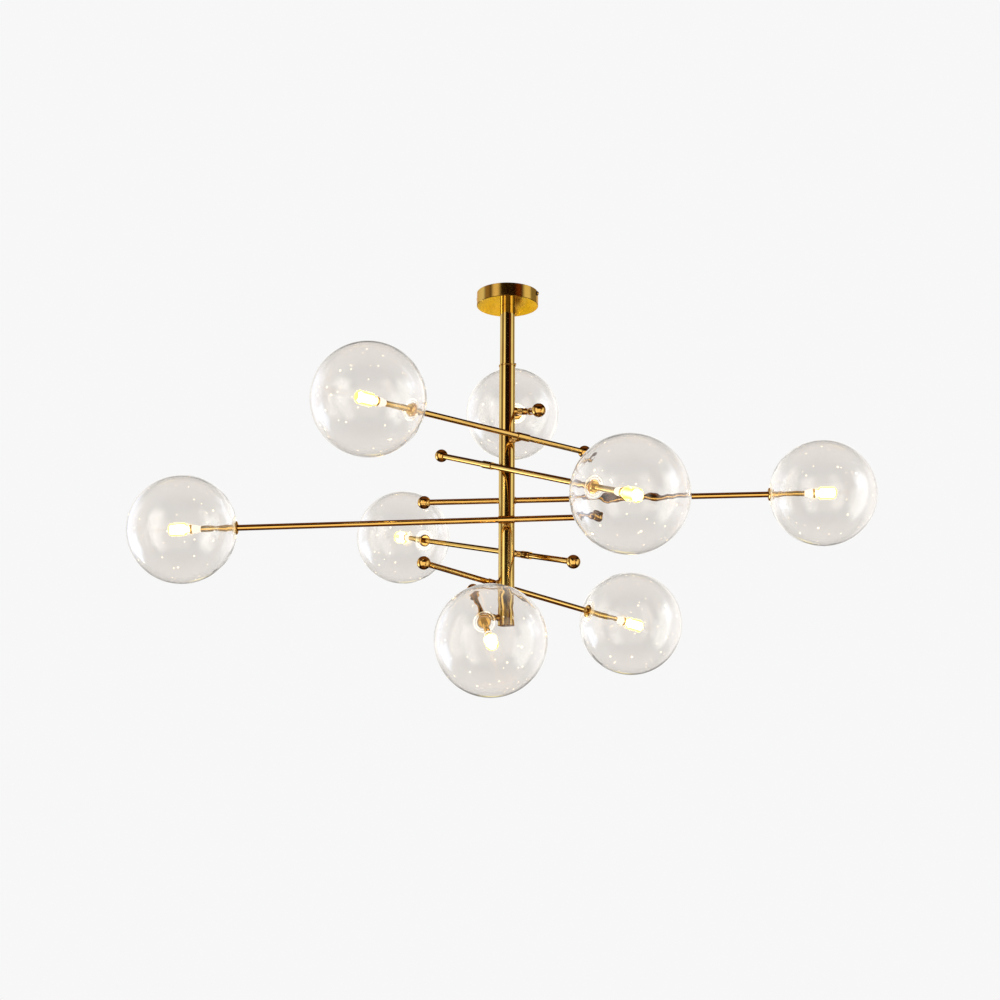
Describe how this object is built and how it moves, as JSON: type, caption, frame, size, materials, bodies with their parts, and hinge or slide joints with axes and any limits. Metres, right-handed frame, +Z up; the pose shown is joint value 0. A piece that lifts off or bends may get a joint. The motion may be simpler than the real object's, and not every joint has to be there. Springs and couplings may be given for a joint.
{
  "type": "branch chandelier",
  "caption": "Brass ceiling chandelier: a straight stem with ball-ended arms that tilt on side pivots, each carrying a clear glass globe with a bare lamp inside",
  "frame": {"origin": "centre of the canopy's open rim, in the ceiling plane, on the stem's axis, midway between the two ceiling screw holes", "axes": "+Z up into the ceiling along the stem's axis; +Y is the direction in which the picture looks, so +X is to the picture's right"},
  "size_m": [1.3874, 0.9827, 0.7867],
  "materials": {
    "polished_brass": "polished and lacquered",
    "satin_brass": "fine brushed, lacquered",
    "knurled_brass": "fine diamond knurl",
    "zinc_steel": "zinc plated",
    "black_nylon": "moulded nylon",
    "lead_insulation": "braided sleeve over silicone insulation",
    "white_ceramic": "unglazed steatite",
    "bulb_glass": "frosted, lit",
    "clear_glass": "clear blown"
  },
  "bodies": {
    "root": {"ceiling_bracket": "zinc_steel", "canopy": "satin_brass", "canopy_screws": "polished_brass", "terminal_block": "white_ceramic", "stem_nipple": "zinc_steel", "upper_stem": "polished_brass", "stem_coupling": "polished_brass", "lower_stem": "polished_brass", "bottom_cap": "polished_brass", "pivot_posts": "knurled_brass", "nylon_washers": "black_nylon", "wiring_loom": "lead_insulation"},
    "arm_1": {"arm_1_rod": "polished_brass", "arm_1_hub": "polished_brass", "arm_1_fitter": "polished_brass", "arm_1_holder": "white_ceramic", "arm_1_bulb": "bulb_glass", "arm_1_globe": "clear_glass"},
    "arm_2": {"arm_2_rod": "polished_brass", "arm_2_hub": "polished_brass", "arm_2_fitter": "polished_brass", "arm_2_holder": "white_ceramic", "arm_2_bulb": "bulb_glass", "arm_2_globe": "clear_glass"},
    "arm_3": {"arm_3_rod": "polished_brass", "arm_3_hub": "polished_brass", "arm_3_fitter": "polished_brass", "arm_3_holder": "white_ceramic", "arm_3_bulb": "bulb_glass", "arm_3_globe": "clear_glass"},
    "arm_4": {"arm_4_rod": "polished_brass", "arm_4_hub": "polished_brass", "arm_4_fitter": "polished_brass", "arm_4_holder": "white_ceramic", "arm_4_bulb": "bulb_glass", "arm_4_globe": "clear_glass"},
    "arm_5": {"arm_5_rod": "polished_brass", "arm_5_hub": "polished_brass", "arm_5_fitter": "polished_brass", "arm_5_holder": "white_ceramic", "arm_5_bulb": "bulb_glass", "arm_5_globe": "clear_glass"},
    "arm_6": {"arm_6_rod": "polished_brass", "arm_6_hub": "polished_brass", "arm_6_fitter": "polished_brass", "arm_6_holder": "white_ceramic", "arm_6_bulb": "bulb_glass", "arm_6_globe": "clear_glass"},
    "arm_7": {"arm_7_rod": "polished_brass", "arm_7_hub": "polished_brass", "arm_7_fitter": "polished_brass", "arm_7_holder": "white_ceramic", "arm_7_bulb": "bulb_glass", "arm_7_globe": "clear_glass"},
    "arm_8": {"arm_8_rod": "polished_brass", "arm_8_hub": "polished_brass", "arm_8_fitter": "polished_brass", "arm_8_holder": "white_ceramic", "arm_8_bulb": "bulb_glass", "arm_8_globe": "clear_glass"}
  },
  "joints": [
    {"name": "arm_1_tilt", "type": "hinge", "parent": "root", "child": "arm_1", "pos_m": [0.04386, 0.00345, -0.235], "axis": [0.9969, 0.0785, 0], "range_deg": [-60, 2]},
    {"name": "arm_2_tilt", "type": "hinge", "parent": "root", "child": "arm_2", "pos_m": [0.02916, -0.03295, -0.295], "axis": [-0.6626, 0.749, 0], "range_deg": [-40, 20]},
    {"name": "arm_3_tilt", "type": "hinge", "parent": "root", "child": "arm_3", "pos_m": [-0.03514, -0.02648, -0.348], "axis": [-0.7986, -0.6018, 0], "range_deg": [-28, 30]},
    {"name": "arm_4_tilt", "type": "hinge", "parent": "root", "child": "arm_4", "pos_m": [0.0023, 0.04394, -0.399], "axis": [-0.0523, -0.9986, 0], "range_deg": [-30, 20]},
    {"name": "arm_5_tilt", "type": "hinge", "parent": "root", "child": "arm_5", "pos_m": [-0.00038, -0.044, -0.455], "axis": [0.0087, 1, 0], "range_deg": [-18, 30]},
    {"name": "arm_6_tilt", "type": "hinge", "parent": "root", "child": "arm_6", "pos_m": [0.03752, 0.02299, -0.508], "axis": [0.8526, 0.5225, 0], "range_deg": [-35, 18]},
    {"name": "arm_7_tilt", "type": "hinge", "parent": "root", "child": "arm_7", "pos_m": [-0.02066, 0.03885, -0.56], "axis": [0.4695, -0.8829, 0], "range_deg": [-60, 40]},
    {"name": "arm_8_tilt", "type": "hinge", "parent": "root", "child": "arm_8", "pos_m": [-0.04352, -0.0065, -0.629], "axis": [-0.989, -0.1478, 0], "range_deg": [-20, 45]}
  ]
}
